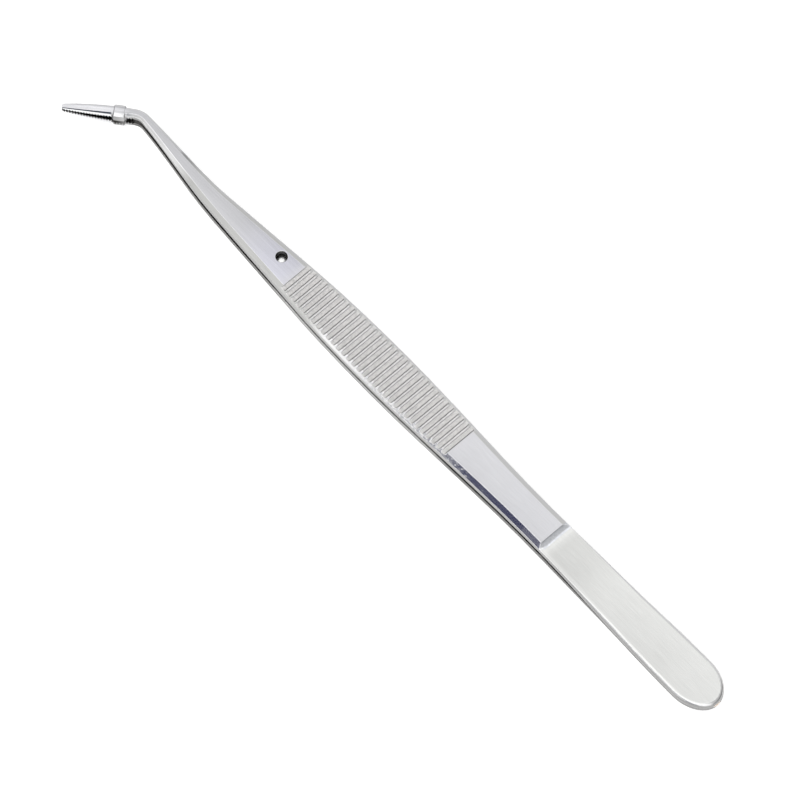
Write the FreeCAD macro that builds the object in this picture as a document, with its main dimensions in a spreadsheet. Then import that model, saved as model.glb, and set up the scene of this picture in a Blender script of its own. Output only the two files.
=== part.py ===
"""Cotton forceps: two spring arms joined at the butt, with bent and toothed jaws.

The document is laid out in millimetres. X runs from the joined butt along the arms towards
the jaws, Z stands square on the flat of the arms, and the jaws turn aside towards +Y.
The lower arm rests on its flat at Z = 0. The upper arm is its mirror image in the
mid-plane between the two. The origin of the finished parts is the centre of the
smooth flat that the forceps rests on.
"""
import FreeCAD
import Part
import Sketcher
import math
import os

Vector = FreeCAD.Vector

# A cubic curve's handle length that gives a quarter of an ellipse.
QUARTER_HANDLE = 0.5523
# The drawn size of a curve handle's construction circle.
HANDLE_KNOB = 1.0

# Driving sizes in millimetres and degrees: alias, value, what it is.
SIZES = [
    ("arm_length", 146.8, "butt end to the start of the bend"),
    ("butt_round", 6.5, "length of the rounded butt end"),
    ("paddle_width", 8.95, "widest place of the spring paddle"),
    ("waist_width", 6.85, "narrowest place between paddle and grip"),
    ("waist_position", 46.0, "butt end to that place"),
    ("grip_width", 8.68, "widest place of the grip"),
    ("grip_widest", 83.0, "butt end to the widest place of the grip"),
    ("shank_width", 7.35, "width where the shank starts"),
    ("shank_start", 104.5, "butt end to the start of the shank"),
    ("shank_taper", 0.073, "half width lost per millimetre there"),
    ("neck_width", 4.13, "width in the middle of the shank"),
    ("neck_share", 0.513, "share of the shank's length before its middle section"),
    ("neck_taper", 0.075, "half width lost per millimetre there"),
    ("bend_width", 1.6, "width through the bend"),
    ("bend_taper", 0.045, "half width lost per millimetre before the bend"),
    ("neck_set", 0.15, "centre line's set in the middle of the shank"),
    ("bend_set", 1.25, "centre line's set away from the jaws' side at the bend"),
    ("bend_lean", 0.04, "slope of the centre line before the bend"),
    ("bevel_width", 1.0, "width of the edge bevels along grip and shank"),
    ("neck_bevel", 0.85, "bevel width in the middle of the shank"),
    ("bend_bevel", 0.42, "bevel width through the bend"),
    ("bevel_depth", 0.45, "depth of the edge bevels"),
    ("arm_thickness", 1.55, "thickness of the grip"),
    ("paddle_thickness", 1.05, "thickness of the spring paddle"),
    ("neck_thickness", 1.38, "thickness in the middle of the shank"),
    ("bend_thickness", 1.25, "thickness through the bend"),
    ("half_gap", 0.5, "grip's inner face to the mid-plane"),
    ("seam", 0.03, "paddle's inner face to the mid-plane where the arms meet"),
    ("contact_length", 18.0, "length over which the paddles lie together"),
    ("step_position", 41.85, "butt end to the step between paddle and grip"),
    ("step_run", 1.3, "length of the hollow-ground step"),
    ("paddle_rounding", 0.65, "rounding of the paddle's outer edge at the butt"),
    ("step_rounding", 0.1, "rounding of the paddle's outer edge at the step"),
    ("bend_angle", 39.2, "turn of the jaws away from the arms"),
    ("bend_radius", 3.2, "centre line radius of the bend"),
    ("groove_first", 65.535, "butt end to the centre of the first grip groove"),
    ("groove_count", 32, "grip grooves"),
    ("groove_pitch", 1.328, "spacing of the grip grooves"),
    ("groove_width", 0.97, "width of a grip groove"),
    ("groove_depth", 0.27, "depth of a grip groove"),
    ("groove_hollow", 0.27, "rounding at the foot of a grip groove, butt side"),
    ("groove_corner", 0.06, "rounding at the foot of a grip groove, jaw side"),
    ("jaw_length", 12.7, "end of the bend to the tip"),
    ("jaw_middle", 6.4, "end of the bend to the middle section of the jaw"),
    ("jaw_width", 1.54, "width at the middle section"),
    ("jaw_thickness", 1.26, "thickness at the middle section"),
    ("jaw_bevel", 0.2, "bevel width at the middle section"),
    ("jaw_bevel_depth", 0.2, "bevel depth at the middle section"),
    ("tip_width", 0.85, "width at the tip"),
    ("tip_thickness", 0.65, "thickness at the tip"),
    ("tip_bevel", 0.12, "bevel width at the tip"),
    ("tip_bevel_depth", 0.12, "bevel depth at the tip"),
    ("tip_gap", 0.05, "tip's inner face to the mid-plane"),
    ("tip_rounding", 0.4, "rounding of the tip in plan"),
    ("collar_centre", 2.6, "end of the bend to the centre of the collar"),
    ("collar_length", 1.75, "length of the collar's flats"),
    ("collar_ramp", 0.5, "length of each chamfered end of the collar"),
    ("collar_width", 2.28, "width over the collar"),
    ("collar_bevel", 0.5, "bevel width of the collar"),
    ("collar_bevel_depth", 0.4, "bevel depth of the collar"),
    ("tooth_pitch", 0.5, "spacing of the jaw teeth"),
    ("tooth_depth", 0.42, "depth of the jaw teeth"),
    ("tooth_count", 25, "teeth on each jaw"),
    ("tooth_land", 0.05, "flat left on top of a tooth"),
    ("pin_position", 111.45, "butt end to the guide pin"),
    ("pin_offset", 0.87, "centre line to the guide pin"),
    ("pin_diameter", 1.64, "guide pin"),
    ("pin_height", 2.95, "length of the guide pin"),
    ("pin_dome", 0.35, "height of the guide pin's domed end"),
    ("pin_clearance", 0.215, "gap around the pin in the upper arm's hole"),
    ("hole_chamfer", 0.08, "chamfer at the mouth of the hole"),
    ("weld_length", 2.4, "weld bead at the butt, across the arms"),
    ("weld_radius", 0.65, "weld bead at its middle"),
    ("weld_proud", 0.12, "weld bead beyond the butt end"),
    ("weld_clearance", 0.03, "gap around the bead in the upper arm"),
]

doc = FreeCAD.newDocument("CottonForceps")
sizes = doc.addObject("Spreadsheet::Sheet", "sizes")
for row, (alias, size, meaning) in enumerate(SIZES, start=1):
    sizes.set(f"A{row}", meaning)
    sizes.set(f"B{row}", str(size))
    sizes.setAlias(f"B{row}", alias)
doc.recompute()

# Places that follow from the driving sizes, as expressions on the sheet.
MID = "(sizes.arm_thickness + sizes.half_gap)"
SPRING_END = "(sizes.step_position - sizes.step_run)"
STEP_DEPTH = "(sizes.arm_thickness - sizes.paddle_thickness)"
MEETING = f"({MID} - sizes.seam)"
REST_POINT = "((sizes.step_position + sizes.groove_first - sizes.groove_width / 2) / 2)"
SHANK_LENGTH = "(sizes.arm_length - sizes.shank_start)"
NECK = f"(sizes.shank_start + sizes.neck_share * {SHANK_LENGTH})"
TURN = "(sizes.bend_angle * 1 deg)"
WELD_CENTRE = "(sizes.weld_radius - sizes.weld_proud)"
TIP_INNER = f"({MID} - sizes.tip_gap)"
SPRING_MIDDLE = f"(sizes.contact_length + {SPRING_END}) / 2"
# No bevel at any station.
SHARP = ("0", "0", "0")
# A face looks down where its normal's height is below this.
DOWNWARD = -0.9
# Lengths closer than this are the same.
SAME = 1e-4


def new_body(name):
    """An empty body."""
    return doc.addObject("PartDesign::Body", name)


def origin_feature(body, role):
    """The body's own origin plane or axis of that role."""
    return next(f for f in body.Origin.OriginFeatures if f.Role == role)


def last_shape(body):
    """The body's shape after a recompute."""
    doc.recompute()
    return body.Tip.Shape


class Outline:
    """A closed outline whose points are all dimensioned from the sketch's origin."""

    def __init__(self, body, name, role, offset=None):
        self.sketch = body.newObject("Sketcher::SketchObject", name)
        self.sketch.AttachmentSupport = (origin_feature(body, role), "")
        self.sketch.MapMode = "FlatFace"
        if offset:
            self.sketch.setExpression("AttachmentOffset.Base.z", offset)
        self.corner = None
        self.previous = None
        self.first = None

    def value(self, expression):
        """The expression's number now."""
        result = self.sketch.evalExpression(expression)
        return float(getattr(result, "Value", result))

    def vector(self, point):
        """The point's place now."""
        return Vector(self.value(point[0]), self.value(point[1]), 0)

    def hold(self, edge, end, point, held=(0, 1)):
        """Dimensions one point of an edge from the sketch's origin."""
        for side in held:
            kind = ("DistanceX", "DistanceY")[side]
            reach = self.value(point[side])
            index = self.sketch.addConstraint(Sketcher.Constraint(kind, -1, 1, edge, end, reach))
            self.sketch.setExpression(f"Constraints[{index}]", point[side])

    def start(self, point):
        """Sets the first corner."""
        self.corner = point
        return self

    def join(self, edge, head, tail, point, held=(0, 1)):
        """Links a new edge to the one before it and dimensions its far end."""
        if self.previous is None:
            self.first = (edge, head)
            self.hold(edge, head, self.corner)
        else:
            link = Sketcher.Constraint("Coincident", *self.previous, edge, head)
            self.sketch.addConstraint(link)
        if point == "close":
            link = Sketcher.Constraint("Coincident", edge, tail, *self.first)
            self.sketch.addConstraint(link)
        else:
            self.hold(edge, tail, point, held)
            self.corner = point
        self.previous = (edge, tail)
        return self

    def line(self, point, closes=False):
        """A straight edge to the point."""
        segment = Part.LineSegment(self.vector(self.corner), self.vector(point))
        edge = self.sketch.addGeometry(segment, False)
        return self.join(edge, 1, 2, "close" if closes else point)

    def lines(self, *points):
        """Straight edges through the points."""
        for point in points:
            self.line(point)
        return self

    def close(self, point):
        """A straight edge back to the first corner, which is the point given."""
        return self.line(point, closes=True)

    def curve(self, handle_a, handle_b, point, closes=False):
        """A cubic curve to the point, led by two handles."""
        poles = [self.vector(p) for p in (self.corner, handle_a, handle_b, point)]
        spline = Part.BSplineCurve()
        spline.buildFromPolesMultsKnots(poles, [4, 4], [0, 1], False, 3)
        edge = self.sketch.addGeometry(spline, False)
        self.join(edge, 1, 2, "close" if closes else point)
        for pole, handle in ((1, handle_a), (2, handle_b)):
            knob = Part.Circle(poles[pole], Vector(0, 0, 1), HANDLE_KNOB)
            mark = self.sketch.addGeometry(knob, True)
            link = "InternalAlignment:Sketcher::BSplineControlPoint"
            self.sketch.addConstraint(Sketcher.Constraint(link, mark, 3, edge, pole))
            self.hold(mark, 3, handle)
        return self

    def arc(self, centre, point, turn):
        """An arc to the point; turn is 1 against the clock and -1 with it."""
        middle = self.vector(centre)
        a = self.vector(self.corner) - middle
        b = self.vector(point) - middle
        circle = Part.Circle(middle, Vector(0, 0, 1), a.Length)
        ends = (a, b) if turn > 0 else (b, a)
        first, last = (circle.parameter(middle + v) for v in ends)
        if last < first:
            last += 2 * math.pi
        edge = self.sketch.addGeometry(Part.ArcOfCircle(circle, first, last), False)
        head, tail = (1, 2) if turn > 0 else (2, 1)
        self.hold(edge, 3, centre)
        across = 0 if abs(b.y) > abs(b.x) else 1
        return self.join(edge, head, tail, point, held=(across,))

    def axis(self, point_a, point_b):
        """A construction line, used as a turning axis or a direction."""
        segment = Part.LineSegment(self.vector(point_a), self.vector(point_b))
        edge = self.sketch.addGeometry(segment, True)
        self.hold(edge, 1, point_a)
        self.hold(edge, 2, point_b)
        return self


def pad(body, name, outline, length):
    """Material raised from an outline."""
    feature = body.newObject("PartDesign::Pad", name)
    feature.Profile = outline.sketch
    feature.setExpression("Length", length)
    return feature


def cut_across(body, name, outline):
    """A cut through the whole body on both sides of an outline's plane."""
    before = last_shape(body).Volume
    feature = body.newObject("PartDesign::Pocket", name)
    feature.Profile = outline.sketch
    feature.Type = "ThroughAll"
    feature.Midplane = True
    after = last_shape(body).Volume
    if after >= before:
        raise RuntimeError(f"{name} removes nothing")
    return feature


def loft(body, name, outlines, ruled):
    """Material drawn from outline to outline."""
    feature = body.newObject("PartDesign::AdditiveLoft", name)
    feature.Profile = outlines[0].sketch
    feature.Sections = [outline.sketch for outline in outlines[1:]]
    feature.Ruled = ruled
    return feature


def repeat(body, name, original, direction, spacing, count):
    """A row of copies of one feature."""
    feature = body.newObject("PartDesign::LinearPattern", name)
    feature.Originals = [original]
    feature.Direction = direction
    feature.Mode = "Spacing"
    feature.setExpression("Offset", spacing)
    feature.setExpression("Occurrences", count)
    body.Tip = feature
    return feature


def negative(expression):
    """The expression with its sign turned."""
    return f"-({expression})"


def through_stations(stations):
    """Cubic spans through (distance, half width, slope) stations, as handles and ends."""
    spans = []
    for (x0, y0, m0), (x1, y1, m1) in zip(stations, stations[1:]):
        third = f"(({x1}) - ({x0})) / 3"
        handle_a = (f"{x0} + {third}", f"{y0} + ({m0}) * {third}")
        handle_b = (f"{x1} - {third}", f"{y1} - ({m1}) * {third}")
        spans.append((handle_a, handle_b, (x1, y1)))
    return spans


def arm_plan(body, name, height, inset, bevels):
    """The straight arm's plan, drawn in by the bevels' width at each station."""
    shoulder, neck, bend = bevels
    # Distance from the butt, half width, its slope, the centre line's set and its slope.
    stations = [
        ("sizes.butt_round", f"(sizes.paddle_width / 2 - {shoulder})", "0", "0", "0"),
        ("sizes.waist_position", f"(sizes.waist_width / 2 - {shoulder})", "0", "0", "0"),
        ("sizes.grip_widest", f"(sizes.grip_width / 2 - {shoulder})", "0", "0", "0"),
        ("sizes.shank_start", f"(sizes.shank_width / 2 - {shoulder})",
         "-sizes.shank_taper", "0", "0"),
        (NECK, f"(sizes.neck_width / 2 - {neck})",
         "-sizes.neck_taper", "sizes.neck_set", "0"),
        ("sizes.arm_length", f"(sizes.bend_width / 2 - {bend})",
         "-sizes.bend_taper", "-sizes.bend_set", "-sizes.bend_lean"),
    ]
    near = [(x, f"{mid} + {half}", f"{lean} + {slope}")
            for x, half, slope, mid, lean in stations]
    far = [(x, f"{mid} - {half}", f"{lean} - ({slope})")
           for x, half, slope, mid, lean in stations]
    near_handle = f"{QUARTER_HANDLE} * {stations[0][1]}"
    start_handle = f"sizes.butt_round - {QUARTER_HANDLE} * (sizes.butt_round - {inset})"
    outline = Outline(body, name, "XY_Plane", height)
    outline.start((inset, "0"))
    outline.curve((inset, near_handle), (start_handle, near[0][1]), near[0][:2])
    for handle_a, handle_b, end in through_stations(near):
        outline.curve(handle_a, handle_b, end)
    outline.line(far[-1][:2])
    for handle_a, handle_b, end in through_stations(far[::-1]):
        outline.curve(handle_a, handle_b, end)
    outline.curve((start_handle, far[0][1]), (inset, negative(near_handle)),
                  (inset, "0"), closes=True)
    return outline


def bevelled_section(body, name, offset, width, low, high, bevel, depth, middle="0"):
    """A strip's section: an outer flat at the low height between two bevels."""
    half = f"({width}) / 2"
    flat = f"({half} - ({bevel}))"
    edge = f"({low}) + ({depth})"
    corners = [
        (f"{middle} - {half}", high),
        (f"{middle} - {half}", edge),
        (f"{middle} - {flat}", low),
        (f"{middle} + {flat}", low),
        (f"{middle} + {half}", edge),
        (f"{middle} + {half}", high),
    ]
    outline = Outline(body, name, "YZ_Plane", offset)
    outline.start(corners[0]).lines(*corners[1:]).close(corners[0])
    return outline


def rim_edges(shape, limit):
    """The edges round the outer face of the paddle, whose plain end is at the limit."""
    faces = []
    for face in shape.Faces:
        u0, u1, v0, v1 = face.ParameterRange
        if face.normalAt((u0 + u1) / 2, (v0 + v1) / 2).z < DOWNWARD:
            faces.append(face)
    for index, edge in enumerate(shape.Edges, start=1):
        owners = sum(any(edge.isSame(other) for other in face.Edges) for face in faces)
        box = edge.BoundBox
        if owners == 1 and not (box.XMax > limit - SAME and box.XLength < SAME):
            yield index, edge


def round_rim(blank, side, end):
    """Rounds the paddle's outer edge, less and less from the spring towards the step."""
    limit = side.value(end)
    full = sizes.paddle_rounding
    slight = sizes.step_rounding
    edges = []
    doc.recompute()
    for index, edge in rim_edges(blank.Shape, limit):
        radii = []
        for vertex in (edge.firstVertex(True), edge.lastVertex(True)):
            fade = vertex.X > sizes.contact_length + SAME
            radii.append(slight if fade else full)
        edges.append((index, *radii))
    rounded = doc.addObject("Part::Fillet", "rounded_paddle")
    rounded.Base = blank
    rounded.Edges = edges
    return rounded


def cut_inner_face(body):
    """The inner side: the paddles lie together, then spring apart to the grip's gap."""
    above = f"{MID} + sizes.half_gap"
    grip = "sizes.arm_thickness"
    neck = "sizes.neck_thickness"
    bend = "sizes.bend_thickness"
    shank_middle = f"(sizes.shank_start + {NECK}) / 2"
    neck_middle = f"({NECK} + sizes.arm_length) / 2"
    side = Outline(body, f"{body.Label}_inner_side", "XZ_Plane")
    side.start(("-sizes.butt_round", MEETING))
    side.line(("sizes.contact_length", MEETING))
    side.curve((SPRING_MIDDLE, MEETING), (SPRING_MIDDLE, grip), (SPRING_END, grip))
    side.line(("sizes.shank_start", grip))
    side.curve((shank_middle, grip), (shank_middle, neck), (NECK, neck))
    side.curve((neck_middle, neck), (neck_middle, bend), ("sizes.arm_length", bend))
    side.lines(("sizes.arm_length", above), ("-sizes.butt_round", above))
    side.close(("-sizes.butt_round", MEETING))
    cut_across(body, f"{body.Label}_inner_face", side)


def build_paddle():
    """The thin spring end of an arm, rounded along its outer edge."""
    body = new_body("paddle")
    plan = arm_plan(body, "paddle_plan", None, "0", SHARP)
    pad(body, "paddle_core", plan, MID)
    cut_inner_face(body)
    face = f"{MEETING} - sizes.paddle_thickness"
    end = "sizes.step_position + sizes.step_run"
    beyond = "2 * sizes.arm_length"
    side = Outline(body, "paddle_side", "XZ_Plane")
    side.start(("-sizes.butt_round", face))
    side.line(("sizes.contact_length", face))
    side.curve((SPRING_MIDDLE, face), (SPRING_MIDDLE, STEP_DEPTH), (SPRING_END, STEP_DEPTH))
    side.lines((end, STEP_DEPTH), (end, f"2 * {MID}"), (beyond, f"2 * {MID}"))
    side.lines((beyond, negative(MID)), ("-sizes.butt_round", negative(MID)))
    side.close(("-sizes.butt_round", face))
    cut_across(body, "paddle_face", side)
    return round_rim(body, side, end)


def build_blade():
    """The grip and shank of an arm with step, bevels, grip grooves and bend."""
    body = new_body("blade")
    bevels = ("sizes.bevel_width", "sizes.neck_bevel", "sizes.bend_bevel")
    edge_plan = arm_plan(body, "edge_plan", "sizes.bevel_depth", "0", SHARP)
    flat_plan = arm_plan(body, "flat_plan", None, "sizes.bevel_width", bevels)
    loft(body, "bevelled_skin", [edge_plan, flat_plan], ruled=True)
    pad(body, "core", edge_plan, f"{MID} - sizes.bevel_depth")
    cut_inner_face(body)

    # The blade starts at the hollow-ground step, which is tangent to the paddle's face.
    radius = f"({STEP_DEPTH} ^ 2 + sizes.step_run ^ 2) / (2 * {STEP_DEPTH})"
    step = Outline(body, "step_side", "XZ_Plane")
    step.start((SPRING_END, f"2 * {MID}"))
    step.line((SPRING_END, STEP_DEPTH))
    step.arc((SPRING_END, f"{STEP_DEPTH} - {radius}"), ("sizes.step_position", "0"), -1)
    step.lines(("sizes.step_position", negative(MID)), ("-sizes.butt_round", negative(MID)))
    step.line(("-sizes.butt_round", f"2 * {MID}"))
    step.close((SPRING_END, f"2 * {MID}"))
    cut_across(body, "step", step)

    # The bend turns the arm's end section about an upright axis.
    section = bevelled_section(body, "bend_section", "sizes.arm_length", "sizes.bend_width",
                               "0", "sizes.bend_thickness", "sizes.bend_bevel",
                               "sizes.bevel_depth", middle="-sizes.bend_set")
    pivot = "sizes.bend_radius - sizes.bend_set"
    section.axis((pivot, "0"), (pivot, MID))
    bend = body.newObject("PartDesign::Revolution", "bend")
    bend.Profile = section.sketch
    bend.ReferenceAxis = (section.sketch, ["Axis0"])
    bend.setExpression("Angle", "sizes.bend_angle")

    # One grip groove with a hollow side and a steep side, repeated along the grip.
    left = "sizes.groove_first - sizes.groove_width / 2"
    right = "sizes.groove_first + sizes.groove_width / 2"
    left_foot = f"{left} + sizes.groove_hollow"
    right_foot = f"{right} - sizes.groove_corner"
    left_rise = "sizes.groove_depth - sizes.groove_hollow"
    right_rise = "sizes.groove_depth - sizes.groove_corner"
    groove = Outline(body, "groove_side", "XZ_Plane")
    groove.start((left, negative(MID))).line((left, left_rise))
    groove.arc((left_foot, left_rise), (left_foot, "sizes.groove_depth"), -1)
    groove.line((right_foot, "sizes.groove_depth"))
    groove.arc((right_foot, right_rise), (right, right_rise), -1)
    groove.line((right, negative(MID)))
    groove.close((left, negative(MID)))
    first = cut_across(body, "groove", groove)
    along = (origin_feature(body, "X_Axis"), [""])
    repeat(body, "grip_grooves", first, along, "sizes.groove_pitch", "sizes.groove_count")
    return body


def along_jaw(root, tip, distance):
    """A size at the distance from the root, which changes evenly from root to tip."""
    return f"({root}) + (({tip}) - ({root})) * ({distance}) / sizes.jaw_length"


def build_jaw():
    """A toothed jaw with its collar, straight along X from the end of the bend."""
    body = new_body("jaw")
    middle_inner = along_jaw("sizes.bend_thickness", TIP_INNER, "sizes.jaw_middle")
    sections = [
        bevelled_section(body, "jaw_root", None, "sizes.bend_width", "0", MID,
                         "sizes.bend_bevel", "sizes.bevel_depth"),
        bevelled_section(body, "jaw_waist", "sizes.jaw_middle", "sizes.jaw_width",
                         f"{middle_inner} - sizes.jaw_thickness", MID,
                         "sizes.jaw_bevel", "sizes.jaw_bevel_depth"),
        bevelled_section(body, "jaw_end", "sizes.jaw_length", "sizes.tip_width",
                         f"{TIP_INNER} - sizes.tip_thickness", MID,
                         "sizes.tip_bevel", "sizes.tip_bevel_depth"),
    ]
    loft(body, "jaw_blank", sections, ruled=False)

    # The inner face closes on the other jaw towards the tip.
    beyond = "2 * sizes.jaw_length"
    slope_end = along_jaw("sizes.bend_thickness", TIP_INNER, beyond)
    inner = Outline(body, "jaw_inner_side", "XZ_Plane")
    inner.start(("0", "sizes.bend_thickness"))
    inner.lines((beyond, slope_end), (beyond, f"2 * {MID}"), ("0", f"2 * {MID}"))
    inner.close(("0", "sizes.bend_thickness"))
    cut_across(body, "jaw_inner_face", inner)

    # The tip is rounded off in plan.
    half = "sizes.tip_width / 2"
    corner = "sizes.jaw_length - sizes.tip_rounding"
    shoulder = f"{half} - sizes.tip_rounding"
    tip = Outline(body, "tip_plan", "XY_Plane")
    wide = "sizes.bend_width"
    tip.start((corner, negative(wide))).line((corner, negative(half)))
    tip.arc((corner, negative(shoulder)), ("sizes.jaw_length", negative(shoulder)), 1)
    tip.line(("sizes.jaw_length", shoulder))
    tip.arc((corner, shoulder), (corner, half), 1)
    tip.lines((corner, wide), (beyond, wide), (beyond, negative(wide)))
    tip.close((corner, negative(wide)))
    cut_across(body, "tip_rounding", tip)

    # One V between two teeth, repeated along the inner face's slope towards the root.
    run = "(sizes.tooth_pitch - sizes.tooth_land) / 2"
    bottom = "sizes.jaw_length - sizes.tooth_pitch"
    height = along_jaw("sizes.bend_thickness", TIP_INNER, bottom)
    valley = Outline(body, "tooth_side", "XZ_Plane")
    valley.start((bottom, f"{height} - sizes.tooth_depth"))
    valley.line((f"{bottom} + 2 * {run}", f"{height} + sizes.tooth_depth"))
    valley.line((f"{bottom} - 2 * {run}", f"{height} + sizes.tooth_depth"))
    valley.close((bottom, f"{height} - sizes.tooth_depth"))
    valley.axis((bottom, height), ("0", "sizes.bend_thickness"))
    first = cut_across(body, "tooth_valley", valley)
    repeat(body, "jaw_teeth", first, (valley.sketch, ["Axis0"]),
           "sizes.tooth_pitch", "sizes.tooth_count")

    # The collar stands proud on both sides and on the outer face, where it reaches the
    # resting plane. Its ends are chamfered, and its inner face closes on the other collar.
    flats = "sizes.collar_length / 2"
    ends = f"{flats} + sizes.collar_ramp"
    rings = []
    for name, shift, proud in (
        ("collar_back", negative(ends), False),
        ("collar_back_flat", negative(flats), True),
        ("collar_front_flat", flats, True),
        ("collar_front", ends, False),
    ):
        place = f"sizes.collar_centre + {shift}"
        sunk = "0" if proud else "sizes.collar_ramp"
        rings.append(bevelled_section(
            body, name, place, f"sizes.collar_width - 2 * {sunk}",
            sunk, TIP_INNER, "sizes.collar_bevel", "sizes.collar_bevel_depth"))
    loft(body, "collar", rings, ruled=True)

    body.setExpression("Placement.Base.x", f"sizes.arm_length + sizes.bend_radius * sin({TURN})")
    body.setExpression("Placement.Base.y",
                       f"sizes.bend_radius * (1 - cos({TURN})) - sizes.bend_set")
    body.setExpression("Placement.Rotation.Angle", "sizes.bend_angle")
    return body


def turned(name, outline, axis):
    """A body turned all the way round the outline's own axis line."""
    body = outline.sketch.getParentGeoFeatureGroup()
    outline.axis(*axis)
    feature = body.newObject("PartDesign::Revolution", f"{name}_turned")
    feature.Profile = outline.sketch
    feature.ReferenceAxis = (outline.sketch, ["Axis0"])
    return body


def build_pin(name, clearance, height, mouth=False):
    """The guide pin, or the room that it needs in an arm."""
    body = new_body(name)
    radius = f"(sizes.pin_diameter / 2 + {clearance})"
    centre = "sizes.pin_position"
    outline = Outline(body, f"{name}_side", "XZ_Plane", "sizes.pin_offset")
    outline.start((centre, "0"))
    outline.line((f"{centre} + {radius}", "0"))
    if mouth:
        wide = f"{centre} + {radius} + sizes.hole_chamfer + sizes.half_gap"
        outline.line((f"{centre} + {radius}", f"2 * {MID} - sizes.hole_chamfer"))
        outline.line((wide, f"2 * {MID} + sizes.half_gap"))
        outline.line((centre, f"2 * {MID} + sizes.half_gap"))
    elif height:
        dome = f"(({radius} ^ 2 + sizes.pin_dome ^ 2) / (2 * sizes.pin_dome))"
        outline.line((f"{centre} + {radius}", f"{height} - sizes.pin_dome"))
        outline.arc((centre, f"{height} - {dome}"), (centre, height), 1)
    outline.close((centre, "0"))
    return turned(name, outline, ((centre, "0"), (centre, MID)))


def build_bead(name, clearance):
    """The weld bead that joins the arms, or the room that it needs in an arm."""
    body = new_body(name)
    end = f"(sizes.weld_length / 2 + {clearance})"
    rise = f"(sizes.weld_radius + {clearance})"
    # The middle of a cubic curve lies three quarters of the way to its two handles.
    crest = f"{WELD_CENTRE} - {rise} * 4 / 3"
    outline = Outline(body, f"{name}_plan", "XY_Plane", MID)
    outline.start((WELD_CENTRE, end))
    outline.curve((crest, f"{end} / 2"), (crest, negative(f"{end} / 2")),
                  (WELD_CENTRE, negative(end)))
    outline.close((WELD_CENTRE, end))
    return turned(name, outline, ((WELD_CENTRE, "0"), (WELD_CENTRE, end)))


def combine(kind, name, **links):
    """A boolean of finished shapes."""
    feature = doc.addObject(f"Part::{kind}", name)
    for link, value in links.items():
        setattr(feature, link, value)
    feature.Refine = True
    return feature


def place(part, name):
    """Gives a finished part its name and sets the origin on the resting flat."""
    part.Label = name
    part.setExpression("Placement.Base.x", negative(REST_POINT))
    return part


def check(parts):
    """Stops the script if an object failed or a part is not one sound solid."""
    for thing in doc.Objects:
        if "Invalid" in thing.State or "Error" in thing.State:
            raise RuntimeError(f"{thing.Label}: {thing.getStatusString()}")
    for part in parts:
        shape = part.Shape
        if shape.isNull() or not shape.isValid() or len(shape.Solids) != 1:
            raise RuntimeError(f"{part.Label} is not one sound solid")


def main():
    """Builds the document and writes one file for each part."""
    blank = combine("MultiFuse", "arm_blank", Shapes=[build_paddle(), build_blade(), build_jaw()])
    opposite = doc.addObject("Part::Mirroring", "opposite_blank")
    opposite.Source = blank
    opposite.Normal = Vector(0, 0, 1)
    opposite.setExpression("Base.z", MID)
    pin = build_pin("guide_pin", "0", "sizes.pin_height")
    bead = build_bead("butt_weld", "0")
    seat = build_pin("pin_seat", "0", "sizes.pin_height")
    bead_seat = build_bead("bead_seat", "0")
    hole = build_pin("pin_hole", "sizes.pin_clearance", None, mouth=True)
    bead_room = build_bead("bead_room", "sizes.weld_clearance")
    lower_seats = combine("MultiFuse", "lower_seats", Shapes=[seat, bead_seat])
    upper_seats = combine("MultiFuse", "upper_seats", Shapes=[hole, bead_room])
    parts = [
        place(combine("Cut", "lower", Base=blank, Tool=lower_seats), "lower_arm"),
        place(combine("Cut", "upper", Base=opposite, Tool=upper_seats), "upper_arm"),
        place(pin, "guide_pin"),
        place(bead, "butt_weld"),
    ]
    doc.recompute()
    check(parts)
    os.makedirs("parts", exist_ok=True)
    for part in parts:
        part.Shape.exportStep(f"parts/{part.Label}.step")


main()
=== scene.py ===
"""Cotton forceps: steel finishes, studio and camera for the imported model.

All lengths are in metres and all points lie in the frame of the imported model: X runs from
the joined butt to the jaws, the jaws turn to +Y, Z stands up from the resting plane, and
the origin is the middle of the lower arm's smooth flat.
"""
import logging
import math
from dataclasses import dataclass, field
from enum import Enum
from typing import Sequence

import bmesh
import bpy
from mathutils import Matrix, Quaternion, Vector

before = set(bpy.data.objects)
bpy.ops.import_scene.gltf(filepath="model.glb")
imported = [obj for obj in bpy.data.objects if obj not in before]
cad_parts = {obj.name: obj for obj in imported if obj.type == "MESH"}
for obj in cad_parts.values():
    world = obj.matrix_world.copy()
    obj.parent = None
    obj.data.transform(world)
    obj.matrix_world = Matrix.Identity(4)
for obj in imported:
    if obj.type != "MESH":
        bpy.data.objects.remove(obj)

LOG = logging.getLogger("forceps")

Colour = tuple[float, float, float, float]
Pair = tuple[float, float]
Triple = tuple[float, float, float]
Socket = bpy.types.NodeSocket
Tree = bpy.types.NodeTree
Node = bpy.types.Node
Sockets = tuple[Socket, Socket, Socket]
Value = Socket | float | Sequence[float]

# The mid-plane between the arms, and the height of the closed forceps.
MID_HEIGHT = 0.00205
# The butt end and the other places along the arms, as X in the frame.
BUTT_X = -0.05345
STEP_X = BUTT_X + 0.04185
GROOVES_START_X = BUTT_X + 0.06505
GROOVES_END_X = BUTT_X + 0.10719
BEND_X = BUTT_X + 0.1468
# The paddle's rounded end, its waist, and its half width at both.
PADDLE_ROUND = 0.0065
WAIST = 0.046
PADDLE_HALF = 0.004475
WAIST_HALF = 0.003425
# The guide pin's axis, and the radius of the hole that it goes through.
PIN_X = BUTT_X + 0.11145
PIN_Y = -0.00087
HOLE_RADIUS = 0.001035
# The jaws' turn from the arms, the place where they start, their length and their teeth.
JAW_TURN = math.radians(39.2)
JAW_START = (BUTT_X + 0.148823, -0.00053)
JAW_LENGTH = 0.0127
TOOTH_PITCH = 0.0005
# How deep the painted shade in the lower jaw's notches reaches; the cut teeth are shallower.
NOTCH_SHADE_DEPTH = 0.00085
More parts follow.
